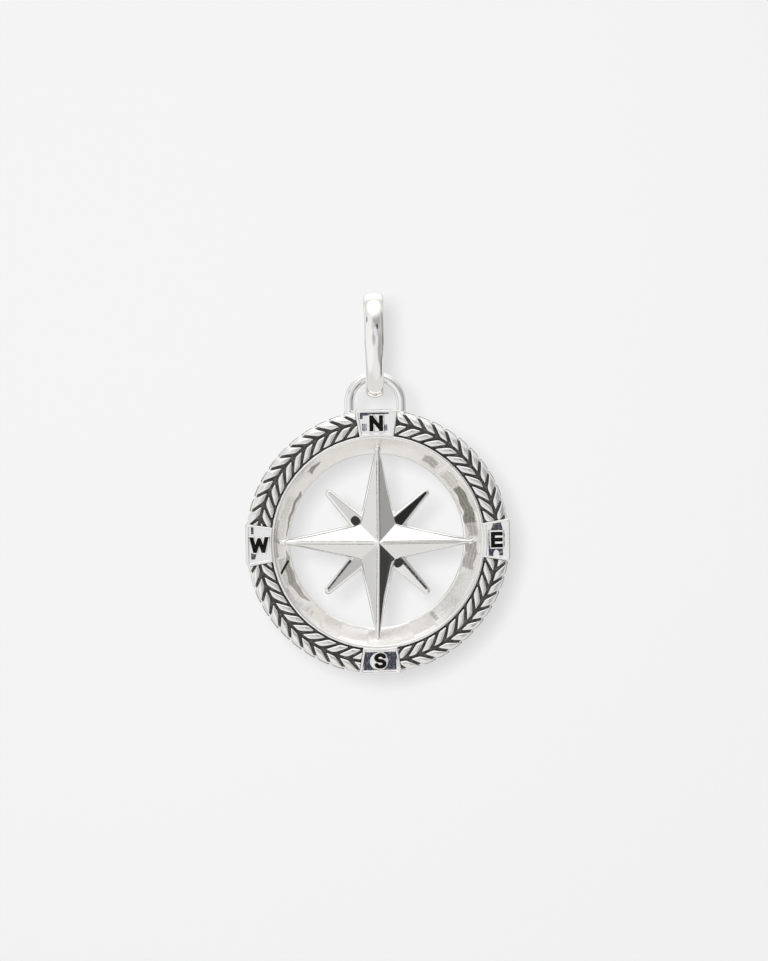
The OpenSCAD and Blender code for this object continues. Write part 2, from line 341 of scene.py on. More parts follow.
# %% Loft the band
def bail_band(steps=192, around=88):
    """The band as a closed tube, with steps round the bail and points around its section."""
    height = bail_high[2] - bail_low[2]
    depth = bail_high[1] - bail_low[1]
    turn, t = full_turn(steps)[:, None], full_turn(around)[None, :]
    # Across the band, and from its inside, 0, to its domed outside, 1
    domed, edge = np.sin(t) >= 0, BAND_W/2/BAND_T
    across = 0.5*np.where(domed, np.cos(t), squarish(np.cos(t), INSIDE))
    out = 1 - (DOME_SOFT*np.cos(t)**2 + DOME_STEEP*np.cos(t)**10)*edge
    side = 1 - (DOME_SOFT + DOME_STEEP)*edge
    out = np.where(domed, out, side*(1 + squarish(np.sin(t), INSIDE)))
    width = BAND_W - (BAND_W - FOOT_W)*np.sqrt(np.clip(-np.cos(turn), 0, 1))
    width = width - TOP_NARROWER*np.clip(np.cos(turn), 0, 1)**2
    fall = (1 - np.cos(turn))/2
    inside = [(depth/2 - BAND_T)*egg(turn), -(height - BAND_T - FOOT_T)*fall]
    outside = [depth/2*egg(turn), BAND_T - height*fall]
    y, z = (a + (b - a)*out for a, b in zip(inside, outside))
    x, y = turned(across*width, y, BAIL_TURN)
    points = np.stack([x, y, z + (bail_high[2] - BAND_T)], axis=-1)*MM
    return patch(points, grain=(turn*BAIL_GRAIN[0], across*BAIL_GRAIN[1]), ring=True, tube=True)


bail = make_piece("domed_bail", [bail_band()], "bail", polished)
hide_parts("bail")

# %% [markdown]
# ## The ring
# The ring is turned like a bowl: a flat back, a rounded outer edge, a channel for the border,
# a bright rounded lip, and a wall that slopes in to the opening. Turning a profile about the
# centre gives it in one patch. The real wall was filed and polished by hand, so it is cut here
# into broad, faintly uneven facets, which is what breaks up its reflections.

# %% Draw the ring's section
OPENING_R, LIP_R, LIP_W, LIP_H, CHANNEL_H = 10.6, 13.0, 0.5, 2.8, 2.12
WALL_R, BACK_ROUND, EDGE_H, EDGE_ROUND = RING_R - 0.2, 0.5, 0.4, 0.08
# How far round the lip goes before the wall begins, in degrees
LIP_ARC = 142


def arc(centre, radius, start, end, steps):
    """Points of an arc in a profile, from one angle to another in degrees."""
    t = np.radians(np.linspace(start, end, steps))
    return [(centre[0] + radius*math.cos(a), centre[1] + radius*math.sin(a)) for a in t]


def ring_profile():
    """Radius and height of the ring's section, on the way round from the back's inner edge."""
    corner = arc((OPENING_R + EDGE_ROUND, EDGE_ROUND), EDGE_ROUND, 180, 270, 4)
    back = [(r, 0.0) for r in np.linspace(OPENING_R + 0.4, WALL_R - BACK_ROUND - 0.2, 6)]
    outer = arc((WALL_R - BACK_ROUND, BACK_ROUND), BACK_ROUND, -90, 0, 10)
    channel = [(WALL_R, CHANNEL_H - EDGE_ROUND), (WALL_R - EDGE_ROUND, CHANNEL_H),
               (LIP_R, CHANNEL_H)]
    lip = arc((LIP_R - LIP_W/2, LIP_H - LIP_W/2), LIP_W/2, 0, LIP_ARC, 14)
    low = np.array([OPENING_R, EDGE_H])
    wall = [tuple(np.array(lip[-1])*(1 - t) + low*t) for t in np.linspace(0.04, 0.97, 34)]
    foot = [(OPENING_R, EDGE_H - EDGE_ROUND)]
    return np.array(corner + back + outer + channel + lip + wall + foot)


print(f"the ring's section has {len(ring_profile())} points")

# %% File the wall by hand
# Where one filed flat of the wall ends and the next begins, as bearings, and how each one leans
FLAT_STARTS = [8, 31, 54, 74, 98, 112, 146, 160, 187, 204, 216, 245, 262, 284, 303, 328, 341]
FLAT_LEANS = [-2, 3, -4, 3, -3, 4, -3, 2, -4, 3, -2, 5, -4, 3, -4, 3, 0]
# How softly one flat turns into the next, in degrees to either side
FLAT_SOFT = 0.6
# Narrow flats that the file left standing between the four winds, and half their width at the
# foot and at the top, in degrees
SEAMS = [42.5, 133.8, 227.6, 316.2]
SEAM_FOOT, SEAM_TOP = 2.1, 1.5
# Waves round the wall: how many, where they start and their share of the depth
WAVES = [(9, 0.4, 1.0), (14, 2.1, 0.8), (23, 4.4, 0.5), (31, 1.2, 0.3)]
WAVE_DEPTH, SEAM_H = 0.008, 0.04


def hand_filed(angle, share):
    """Uneven depth of the hand-filed wall, in millimetres, round the ring and down its slope."""
    bearing = np.degrees(angle) % 360
    lean = np.full_like(bearing, FLAT_LEANS[-1], dtype=float)
    for start, this, last in zip(FLAT_STARTS, FLAT_LEANS, FLAT_LEANS[-1:] + FLAT_LEANS[:-1]):
        lean = lean + (this - last)*smooth(bearing, start - FLAT_SOFT, start + FLAT_SOFT)
    sway = sum(size*np.sin(count*angle + phase + 2.2*share) for count, phase, size in WAVES)
    fade = smooth(share, 0, 0.14)*smooth(share, 1, 0.86)
    tilt = np.tan(np.radians(lean))*(share - 0.5)*(LIP_H - EDGE_H)
    standing = sum(smooth(np.abs(bearing - seam), SEAM_FOOT, SEAM_TOP) for seam in SEAMS)
    return (WAVE_DEPTH*sway + tilt - SEAM_H*standing)*fade


print(f"the wall has {len(FLAT_STARTS)} broad flats and {len(SEAMS)} narrow ones")

# %% [markdown]
# The wall shows brown-grey patches here and there, with streaks along the way it was filed: they
# are painted reflections of darker surroundings. One black spot near the west plaque is painted
# too. These places are read off the photograph, as bearings and as shares of the slope from the
# opening to the lip, and stored with the tarnish as painted reflection, because a real
# reflection would not stay in these places.

# %% Paint reflections on the wall
# Each painted reflection: the bearings where it starts and ends, its lower and upper edge at the
# start and at the end, as shares, how far the upper edge bulges between them, and how dark it is
PAINTED_WALL_REFLECTIONS = [(28.5, 40, 0.3, 0.82, 0.3, 0.82, 0, 0.54), (44, 57, 0.2, 0.86, 0.2, 0.86, 0, 0.48),
         (55.5, 81, 0.3, 0.84, 0.14, 0.86, 0, 0.62), (79, 89, 0.2, 0.85, 0.3, 0.8, 0, 0.53),
         (90, 109, 0.1, 0.8, 0.1, 0.8, 0, 0.55), (134, 142.5, 0.3, 0.86, 0.3, 0.86, 0, 0.43),
         (141.5, 146.3, 0.2, 0.78, 0.2, 0.78, 0, 0.54), (184, 204, 0.3, 0.7, 0.4, 0.8, 0, 0.4),
         (222.6, 225.3, 0.4, 0.78, 0.4, 0.78, 0, 0.56), (228, 266.5, 0.16, 0.22, 0.16, 0.24, 0.42, 0.56),
         (273, 300, 0.36, 0.86, 0.36, 0.86, 0, 0.44), (273, 305, 0.12, 0.2, 0.12, 0.34, 0.05, 0.6),
         (315.8, 326.5, 0.34, 0.84, 0.78, 0.86, 0, 0.6)]
# Bearing and share of both ends of the black spot, and the wall's millimetres in a degree
# and from its lower to its upper edge
SPOT_START, SPOT_END = (253.4, 0.86), (258.6, 0.3)
MM_ROUND, MM_UP = 0.2, 2.4
# Half the width of the spot with its soft edge, and of its full black
SPOT_OUTSIDE, SPOT_INSIDE = 0.2, 0.12


def to_segment(x, y, start, end):
    """Distance from each point to a straight stroke's middle line."""
    dx, dy = end[0] - start[0], end[1] - start[1]
    t = np.clip(((x - start[0])*dx + (y - start[1])*dy)/(dx*dx + dy*dy), 0, 1)
    return np.hypot(x - start[0] - t*dx, y - start[1] - t*dy)


def wall_reflections_and_spot(bearing, share):
    """How dark the painted reflections are at each point of the wall, and the black spot."""
    streaks = 0.5 + 0.5*np.sin(share*31 + bearing*0.21 + 1.7*np.sin(bearing*0.33))
    painted_dark = np.zeros(np.broadcast_shapes(bearing.shape, share.shape))
    for start, end, low_first, high_first, low_last, high_last, bulge, dark in PAINTED_WALL_REFLECTIONS:
        t = np.clip((bearing - start)/(end - start), 0, 1)
        low = low_first + (low_last - low_first)*t
        high = high_first + (high_last - high_first)*t + bulge*np.sin(math.pi*t)
        level = share + 0.04*np.sin(bearing*0.6 + start)
        along = smooth(bearing, start - 2.5, start + 2)*smooth(bearing, end + 2.5, end - 2)
        across = smooth(level, low - 0.12, low + 0.06)*smooth(level, high + 0.12, high - 0.06)
        painted_dark = np.maximum(painted_dark, dark*along*across*(0.9 + 0.06*streaks))
    ends = [(place[0]*MM_ROUND, place[1]*MM_UP) for place in (SPOT_START, SPOT_END)]
    spot = to_segment(bearing*MM_ROUND, share*MM_UP, *ends)
    return np.maximum(painted_dark, smooth(spot, SPOT_OUTSIDE, SPOT_INSIDE))


# %% Turn the ring
def turned_ring(steps=720):
    """The whole ring: its section, turned round the centre in steps."""
    profile = ring_profile()
    angle = full_turn(steps)[:, None]
    r, h = (np.broadcast_to(profile[:, i], (steps, len(profile))) for i in (0, 1))
    in_channel = (h > CHANNEL_H - 0.1) & (r >= LIP_R - 0.02)
    on_wall = (r < LIP_R - LIP_W*0.6) & (h > 0.2)
    share = np.clip((h - EDGE_H)/(LIP_H - 0.2 - EDGE_H), 0, 1)
    r = r + np.where(on_wall, hand_filed(angle, share), 0)
    # Painted reflections and the black spot on the wall, stored with the tarnish
    painted_dark = np.where(on_wall, wall_reflections_and_spot(np.degrees(angle), share), 0)
    return patch(stand_round(r, angle, h), tarnish_and_painted_shade=np.maximum(painted_dark, in_channel),
                 grain=(angle*12, h*2), ring=True, tube=True)


ring = make_piece("turned_ring", [turned_ring()], "medallion", hand_rubbed)
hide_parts("frame")

# %% [markdown]
# ## Strokes and distances
# A letter plaque is a small relief, and a relief is easiest to shape with distances: how far is
# this point from the plaque's edge, or from the nearest stroke of the letter? The height then
# falls off softly along each edge, as on cast and polished metal, and the black is put where the
# distance says. These helpers measure such distances over a whole grid at once.

# %% Distances to strokes and shapes
# Height, width of the strokes, and how far from the ring's centre the middle lies
LETTER_H, STROKE_W, LETTER_R = 1.87, 0.42, 14.4


def to_strokes(x, y, strokes):
    """Distance to the edge of a letter drawn with strokes: negative inside them."""
    middle = np.min([to_segment(x, y, a, b) for a, b in strokes], axis=0)
    return np.maximum(middle - STROKE_W/2, np.abs(y) - LETTER_H/2)


def soft_box(x, y, left, right, low, high, soft=0.05):
    """1 inside a box, falling to 0 over its soft edge."""
    inside = np.minimum(np.minimum(x - left, right - x), np.minimum(y - low, high - y))
    return smooth(inside, -soft, soft)


def soft_disc(x, y, centre, radii, soft=0.05):
    """1 inside an oval, falling to 0 over its soft edge."""
    reach = np.hypot((x - centre[0])/radii[0], (y - centre[1])/radii[1])
    return smooth((1 - reach)*min(radii), -soft, soft)


print("a point 1 mm past a stroke's end is", to_segment(0, 2, (0, 0), (0, 1)), "mm from it")

# %% [markdown]
# ## The four letters
# The letters mark the four winds, as on any compass, and are drawn from plain strokes of one
# width. N, E and W are straight strokes. S is two bows, given as a chain of short strokes.

# %% Draw the letters as distances
def letter_n(x, y):
    side, tall = 0.58, LETTER_H/2 + STROKE_W
    slope = (LETTER_H - STROKE_W)/2
    return to_strokes(x, y, [((-side, -tall), (-side, tall)), ((side, -tall), (side, tall)),
                             ((-side, slope), (side, -slope))])


def letter_e(x, y):
    side, arm = 0.48, (LETTER_H - STROKE_W)/2
    arms = np.min([np.abs(y - v) for v in (-arm, 0, arm)], axis=0) - STROKE_W/2
    across = np.abs(x) - side - STROKE_W/2
    post = np.abs(x + side) - STROKE_W/2
    return np.maximum(np.minimum(np.maximum(arms, across), post), np.abs(y) - LETTER_H/2)


def letter_s(x, y):
    rx, ry = 0.5, (LETTER_H - STROKE_W)/4
    upper = [(rx*math.cos(t), ry + ry*math.sin(t)) for t in np.radians(np.arange(20, 264, 9))]
    lower = [(-px, -py) for px, py in reversed(upper)]
    line = upper + [(0, 0)] + lower
    return to_strokes(x, y, list(zip(line[:-1], line[1:])))


def letter_w(x, y):
    top, top_x, foot_x = LETTER_H/2, 0.92, 0.5
    foot, peak = 0.14 - top, top - 0.3
    # The outer strokes run on past the top, and are cut off level there
    lift = 0.35
    out_x, out_y = top_x + lift*(top_x - foot_x)/(top - foot), top + lift
    strokes = [((s*out_x, out_y), (s*foot_x, foot)) for s in (-1, 1)]
    strokes += [((s*foot_x, foot), (0, peak)) for s in (-1, 1)]
    return to_strokes(x, y, strokes)


# A square round the middle of a letter, for measuring: its side in millimetres, and its points
FIELD = 4.0
steps = np.linspace(-FIELD/2, FIELD/2, 201)
field_x, field_y = np.meshgrid(steps, steps)
for letter in (letter_n, letter_e, letter_s, letter_w):
    print(f"{letter.__name__} is {np.ptp(field_x[letter(field_x, field_y) < 0]):.2f} mm wide")

# %% [markdown]
# ## Black left in the fields
# The sunk fields were blackened and then rubbed bright by hand, so each plaque kept its black
# in other places: N a bar along its top and two scratched patches, E all round its letter,
# S round a rubbed disc, and W only in two corners. Each rule gives 1 where black is left. The
# places are millimetres from the middle of the letter, to the right and up.

# %% Say where each field is black
def black_n(x, y):
    bar = soft_box(x, y, -2.0, 1.55, 1.0 + 0.06*x, 1.34)
    corner = soft_box(x, y, -2.0, -1.6, 0.5, 1.3)
    left = soft_box(x, y, -1.8, -1.14, -0.94, 0.0)
    right = soft_box(x, y, 0.84, 1.34, -0.94, -0.14)
    scratched = np.maximum(left, right)*(0.88 + 0.2*np.sin(x*26))
    disc = soft_disc(x, y, (0, -0.05), (1.45, 1.12))
    under = soft_disc(x, y, (0, 0), (1.12, 1.07)) - soft_disc(x, y, (0, 0.08), (1.14, 1.05))
    return np.clip(np.maximum(np.maximum(bar, corner)*(1 - disc*0.8), scratched)
                   + under*(y < 0), 0, 1)


def black_e(x, y):
    above = soft_box(x, y, -0.44 - 0.4*(2 - y), 0.56 + 0.25*(2 - y), 1.12, 2.08)
    below = soft_box(x, y, -1.05, 0.75, -1.95, -0.72)
    notch = soft_disc(x, y, (-0.1, -1.75), (0.34, 0.5))
    line = soft_box(x, y, -1.06, -0.86, -0.75, 1.2, 0.03)
    right = soft_box(x, y, 0.78, 0.98, -0.9, 1.2, 0.03)
    return np.maximum.reduce([above, below*(1 - notch), line*0.9, right*0.8])


def black_s(x, y):
    sides = soft_box(x, y, -2.1, 1.95, -1.12, 1.12)
    disc = soft_disc(x, y, (-0.18, -0.05), (1.08, 1.04))
    under = soft_disc(x, y, (-0.12, -0.04), (1.0, 1.08)) - soft_disc(x, y, (-0.12, 0.05), (1.05, 1.07))
    return np.clip(sides*(1 - disc) + under*(y < -0.5), 0, 1)


def black_w(x, y):
    bar = soft_box(x, y, -0.98, -0.62, 1.3, 2.15)
    patch_low = soft_box(x, y, -1.02, -0.35 + 0.3*(y + 1.2), -1.75, -0.98)
    return np.maximum(bar, patch_low)


for black in (black_n, black_e, black_s, black_w):
    print(f"{black.__name__} covers {np.mean(black(field_x, field_y))*FIELD**2:.1f} square mm")

# %% [markdown]
# ## The plaques
# Each plaque is a block with a straight outside, two sides that point at the ring's centre and
# a round inside on the lip. Its top has a raised rim, a sunk field and a letter cut into the
# field, with a fine burr standing up round the letter where the graver pushed the metal aside.

# %% Shape the plaques
PLAQUE_ANGLE, RIM_W, FIELD_DEPTH, LETTER_DEPTH = 18.6, 0.32, 0.3, 0.22
PLAQUE_TOP, PLAQUE_FOOT = 3.1, 0.5
PLAQUE_INSIDE, HALF_TURN = LIP_R - LIP_W*0.3, math.radians(PLAQUE_ANGLE/2)
# Rounding of the rim, cut at the corners, height of the burr, and strength of the fields' black
RIM_ROUND, CORNER_CUT, BURR_H, FIELD_BLACK = 0.16, 0.34, 0.04, 0.62


def round_off(inward, radius):
    """How much of its drop a rounded edge still has, at a distance inward from it."""
    return 1 - np.sqrt(np.clip(1 - (1 - np.clip(inward/radius, 0, 1))**2, 0, 1))


def plaque_outside(turn):
    """How far out the plaque reaches: straight, with its corners rounded off."""
    near_corner = np.clip((np.abs(turn)/HALF_TURN - 0.8)/0.2, 0, 1)
    return RING_R - CORNER_CUT*near_corner**2.4


def plaque_plan(across, deep):
    """A grid over the plaque: how far clockwise and how far out each point lies."""
    turn = HALF_TURN*np.sin(np.linspace(-1, 1, across)*math.pi/2)[None, :]
    t = np.linspace(0, 1, deep)[:, None]
    clockwise = (1 - t)*PLAQUE_INSIDE*np.sin(turn) + t*plaque_outside(turn)*np.tan(turn)
    out = (1 - t)*PLAQUE_INSIDE*np.cos(turn) + t*plaque_outside(turn)
    return clockwise, out


def edge_distance(clockwise, out, soft=0.05):
    """How far inside the plaque's outline a point lies, with its corners a little rounded."""
    r, turn = np.hypot(clockwise, out), np.arctan2(clockwise, out)
    gaps = [r*np.sin(HALF_TURN - np.abs(turn)), plaque_outside(turn) - out, r - PLAQUE_INSIDE]
    return np.clip(-soft*np.log(sum(np.exp(-gap/soft) for gap in gaps)), 0, None)


# %% Build a plaque from its top and its sides
def round_the_edge(grid):
    """The points of a grid's four edges, on the way round, for the sides to hang from."""
    return np.concatenate([grid[0], grid[1:, -1], grid[-1, -2::-1], grid[-2:0:-1, 0]])


def plaque_patches(bearing, letter, black, across=170, deep=104):
    """A plaque's top and its sides, at a bearing, with its letter and its rule for the black."""
    clockwise, out = plaque_plan(across, deep)
    right, north = turned(clockwise, out, bearing)
    middle_x, middle_y = turned(0, LETTER_R, bearing)
    x, y = right - middle_x, north - middle_y
    edge, cut = edge_distance(clockwise, out), letter(x, y)
    rim = -RIM_ROUND*round_off(edge, RIM_ROUND)
    field = smooth(edge, RIM_W - 0.04, RIM_W + 0.06)
    sunk = smooth(-cut, -0.03, 0.05)
    burr = BURR_H*np.exp(-((cut - 0.09)/0.05)**2)
    height = PLAQUE_TOP + rim - FIELD_DEPTH*field - LETTER_DEPTH*sunk + burr
    smoky = FIELD_BLACK*black(x, y)*smooth(edge, RIM_W, RIM_W + 0.05)*smooth(cut, 0.1, 0.15)
    top = patch(stand(right, north, height), tarnish_and_painted_shade=np.maximum(smoky, sunk))
    right, north, height = (round_the_edge(grid) for grid in (right, north, height))
    sides = height + (PLAQUE_FOOT - height)*np.linspace(0, 1, 5)[:, None]
    return [top, patch(stand(right, north, sides), tube=True)]


widths = [2*PLAQUE_INSIDE*math.sin(HALF_TURN), 2*RING_R*math.tan(HALF_TURN)]
print("a plaque is {:.2f} mm wide on the lip and {:.2f} mm at the ring's edge".format(*widths))

# %% [markdown]
# All four plaques have the same plan, so a loop sets them round the ring. The letters all stand
# upright, as on a map, and only the plaques turn with the bearing.

# %% Set the four plaques
plaques = [("north", 0, letter_n, black_n), ("east", 90, letter_e, black_e),
           ("south", 180, letter_s, black_s), ("west", 270, letter_w, black_w)]
for wind, bearing, letter, black in plaques:
    plaque = make_piece(f"{wind}_plaque", plaque_patches(bearing, letter, black),
                        "medallion", blue_black)
    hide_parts("frame")

# %% [markdown]
# ## The long points of the star
# Each long point is a roof: two flat facets that meet in a ridge, highest at the star's centre.
# Polishing has rounded the ridge into a fine bright line, and the outer edges into soft flanks.
# A row of points across the roof is repeated from the centre to the tip, closest together
# where the surface turns.

# %% Build the long points
STAR_APEX, STAR_BACK, LONG_REACH, LONG_TIP_H = 3.45, 0.85, 12.28, 1.9
LONG_ROOT, ROOT_H = 2.19, 1.8
RIDGE_FALL = (STAR_APEX - LONG_TIP_H)/LONG_REACH
ROOF_FALL = (STAR_APEX - RIDGE_FALL*LONG_ROOT - ROOT_H)/LONG_ROOT
RIDGE_ROUND, FLANK_W, FLANK_DROP = 0.17, 0.3, 0.34
# The length over which a flank grows from the root on, and the most that the flank and the crest
# take up of half the roof's width near the tip
FLANK_GROWS, FLANK_SHARE, CREST_SHARE = 0.5, 0.45, 0.4
# How far the buffing wheel left each facet standing proud in its middle
PILLOW = 0.014
# Half the width of the painted shade and reflection lines beside its edges, and how dark they are
PAINTED_LINE_W, PAINTED_LINE_DARK = 0.08, 0.58
# The star sits in its ring turned by a hair, in degrees
STAR_TURN = 0.9


def stand_on_star(across, out, height, bearing):
    """Stand up a point of the star that is drawn pointing north, and turn it to its bearing."""
    return stand(*turned(across, out, bearing + STAR_TURN), height)


def roof_fall(x, half):
    """How far the roof has fallen at a distance from the ridge, which is rounded at its top."""
    rounded = np.minimum(RIDGE_ROUND, half*0.35 + 1e-9)
    return ROOF_FALL*np.where(x < rounded, x*x/(2*rounded), x - rounded/2)


def with_side(height, *others):
    """Add the blade's side: four more rows of points, from the star's back to its top edge."""
    side = height[:, :1] + (STAR_BACK - height[:, :1])*np.linspace(1, 0, 5)[None, :-1]
    return [beside(side, height)] + [beside(np.repeat(a[:, :1], 4, axis=1), a) for a in others]


# %% Shape half of the roof
def half_roof(y, flank_w):
    """One side of the roof, from its foot up over its flank and its facet to the ridge."""
    past_root = np.clip((y - LONG_ROOT)/(LONG_REACH - LONG_ROOT), 0, 1)
    half = np.where(y < LONG_ROOT, y, LONG_ROOT*(1 - past_root))
    grown = flank_w*smooth(y, LONG_ROOT, LONG_ROOT + FLANK_GROWS)
    flank = np.minimum(grown, half*FLANK_SHARE)
    ridge = np.minimum(1.6*RIDGE_ROUND, half*CREST_SHARE)
    edge_in = flank*(1 - np.cos(np.linspace(0, math.pi/2, 9)))[None, :]
    slope = flank + (half - flank - ridge)*np.linspace(0, 1, 9)[None, 1:]
    crest = half - ridge + ridge*np.linspace(0, 1, 14)[None, 1:]
    inward = beside(edge_in, slope, crest)
    x = half - inward
    drop = FLANK_DROP*np.minimum(flank/flank_w, 1)*round_off(inward, np.maximum(flank, 1e-6))
    height = STAR_APEX - RIDGE_FALL*y - roof_fall(x, half) - np.where(flank > 1e-6, drop, 0)
    proud = np.sin(math.pi*np.clip(x/np.maximum(half, 1e-6), 0, 1))
    height = height + PILLOW*proud*np.minimum(half/LONG_ROOT, 1)
    height, x = with_side(height, x)
    # Between the centre and the root the neighbour's roof begins, so there is no side to show
    inner = (y < LONG_ROOT - 1e-9) & (x >= half - 1e-9)
    start = STAR_APEX - RIDGE_FALL*y - roof_fall(half, half)
    # A fine dark line is painted at the foot of the crest as painted shade, and inside the flank
    # as a painted grey reflection of the flank
    crest_shade_line = np.exp(-((x - RIDGE_ROUND)/PAINTED_LINE_W)**2)
    flank_reflection_line = np.exp(-((half - x - 0.65*flank)/PAINTED_LINE_W)**2)*smooth(flank, 0.1, 0.2)
    lines = PAINTED_LINE_DARK*np.maximum(crest_shade_line, 0.85*flank_reflection_line)*smooth(half, 0.2, 0.6)
    return x, np.where(inner, start, height), lines


def long_point(bearing, left_flank, right_flank):
    """A whole point: rows of both halves, from the star's centre out to its tip."""
    stations = np.concatenate([np.linspace(0, LONG_ROOT, 16)[:-1],
                               LONG_ROOT + (LONG_REACH - LONG_ROOT)*np.linspace(0, 1, 70)**0.8])
    y = stations[:, None]
    left_x, *left = half_roof(y, left_flank)
    halves = zip([-left_x, *left], half_roof(y, right_flank))
    x, height, lines = (beside(one, other[:, -2::-1]) for one, other in halves)
    # The painted shade and reflection lines go into the stored tarnish
    return patch(stand_on_star(x, y, height, bearing), tarnish_and_painted_shade=lines, grain=(y, x*3))


print(f"a long point falls {ROOF_FALL:.2f} mm for each millimetre away from its ridge")

# %% Raise the four long points
# The south point was filed harder along its east side, and has a broader flank there
WINDS, BROAD_FLANK = (0, 90, 180, 270), 0.55
long_points = [long_point(bearing, BROAD_FLANK if bearing == 180 else FLANK_W, FLANK_W)
               for bearing in WINDS]
print(f"long points reach {LONG_REACH} mm, and fall by {RIDGE_FALL*LONG_REACH:.2f} mm to their tips")

# %% [markdown]
# ## The short points and the solder
# A short point is a blade with a flat top that slopes down to a round end, and a broad rounded
# edge. It is drawn as an outline with a middle line: each point of the surface lies some share
# of the way from one to the other, and the edge's roundness depends on that distance.
# Where the long points meet the wall, the goldsmith left a small uneven bead of solder, and the
# casting has small webs in the corners between long and short points. Dark marks are painted at
# the foot of two short points and along the edge of two.

# %% Size the short points, and say where they are dark
SHORT_REACHES = {45: 8.77, 135: 9.0, 225: 8.9, 315: 8.8}
SHORT_ROOT_W, SHORT_TIP_R, SHORT_SLOPE, SHORT_START = 1.1, 0.48, 6.0, 2.6
SHORT_ROUND, SHORT_DROP = 0.34, 0.3


def dark_traces(bearing, x, y):
    """Where a short point is painted dark, in its own plan: across, and out."""
    narrowing = 1.35 - 0.11*(y - 4)
    if bearing == 315:
        lump = (np.abs((x + 0.1)/0.6)**2.6 + np.abs((y - 3.72)/0.66)**2.6)**(1/2.6)
        return 0.72*smooth(lump, 1.22, 0.7)
    if bearing == 135:
        foot = smooth(np.hypot((x - 0.02)/1.25, y - 3.6), 0.72, 0.45)
        stripe = to_segment(x, y, (-0.45, 3.9), (-0.12, 8.3))/narrowing
        return np.maximum(0.66*foot, 0.6*smooth(stripe, 0.28, 0.1))
    if bearing == 225:
        return 0.62*smooth(to_segment(x, y, (0.72, 4.0), (0.2, 8.3))/narrowing, 0.19, 0.08)
    return np.zeros_like(x)


# %% Build the short points
def short_point(bearing):
    """A blade drawn from its outline inwards, on the way round from its right root."""
    end = SHORT_REACHES[bearing] - SHORT_TIP_R
    side = np.linspace(0, 1, 61)[:-1]
    turn = np.radians(np.linspace(5, 175, 21))
    right_x = SHORT_ROOT_W + (SHORT_TIP_R*math.cos(turn[0]) - SHORT_ROOT_W)*side
    right_y = SHORT_START + (end + SHORT_TIP_R*math.sin(turn[0]) - SHORT_START)*side
    x = np.concatenate([right_x, SHORT_TIP_R*np.cos(turn), -right_x[::-1]])[:, None]
    y = np.concatenate([right_y, end + SHORT_TIP_R*np.sin(turn), right_y[::-1]])[:, None]
    middle_y = np.minimum(y, end)
    reach = np.hypot(x, y - middle_y)
    rounding = np.minimum(SHORT_ROUND, reach*0.8)
    arc_in = rounding*(1 - np.cos(np.linspace(0, math.pi/2, 9)))[None, :]
    flat_in = rounding + (reach - rounding)*np.linspace(0, 1, 11)[None, 1:]
    inward = beside(arc_in, flat_in)
    share = inward/reach
    px, py = x*(1 - share), y + (middle_y - y)*share
    slope = math.tan(math.radians(SHORT_SLOPE))*(py - LONG_ROOT*math.sqrt(2))
    height = ROOT_H - slope - SHORT_DROP*round_off(inward, rounding)
    height, px, py = with_side(height, px, py)
    return patch(stand_on_star(px, py, height, bearing), tarnish_and_painted_shade=dark_traces(bearing, px, py),
                 grain=(py, px*3))


short_points = [short_point(bearing) for bearing in SHORT_REACHES]
print("short points reach", sorted(SHORT_REACHES.values()), "mm")

# %% Drop the solder beads and join the star
# Place across, out and up, and half the length, width and thickness, of the beads and the webs
BEAD_AT, BEAD_SIZE = (0, 11.35, 1.62), (0.62, 0.4, 0.42)
WEB_AT, WEB_SIZE = (1.06, 3.72, 1.14), (0.34, 0.2, 0.3)


def solder_bead(bearing, seed, at, size):
    """A lumpy bead of metal. The seed of its chance gives each one other lumps."""
    long, wide, thick = size
    turn = full_turn(28)[None, :]
    rise = np.linspace(-math.pi/2, math.pi/2, 17)[:, None]
    chance = np.random.default_rng(seed)
    lump = 1 + sum(chance.uniform(0.04, 0.13)*np.sin(n*turn + chance.uniform(0, 6.3))*np.cos(rise)**2
                   for n in (2, 3, 5))
    x = at[0] + wide*np.cos(rise)*np.cos(turn)*lump
    y = at[1] + long*np.cos(rise)*np.sin(turn)*lump
    height = at[2] + thick*np.sin(rise)*lump
    return patch(stand_on_star(x, y, height, bearing), tube=True)


beads = [solder_bead(bearing, seed, BEAD_AT, BEAD_SIZE)
         for seed, bearing in enumerate(WINDS, start=3)]
webs = [solder_bead(bearing, 20 + bearing + side, (side*WEB_AT[0], *WEB_AT[1:]), WEB_SIZE)
        for bearing in SHORT_REACHES for side in (-1, 1)]
print(f"{len(beads)} beads of solder and {len(webs)} webs")
star = make_piece("compass_star", long_points + short_points + beads + webs,
                  "medallion", polished)
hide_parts("frame")

# %% [markdown]
# ## The wire loop
# The loop is a piece of round wire bent into an arch, its legs let into the ring's edge. A tube
# swept along the arch could be a beveled curve, but the same grid of points keeps all pieces
# alike and lets small fillets of solder swell out where the legs go in.

# %% Sweep the loop
LOOP_RISE, WIRE_D, LOOP_W = 4.62, 1.16, 7.44
# The wire's middle lies in the frame's upright plane, and solder swells it at the ring's edge
WIRE_MID, FILLET = RING_CENTRE[1], 0.16


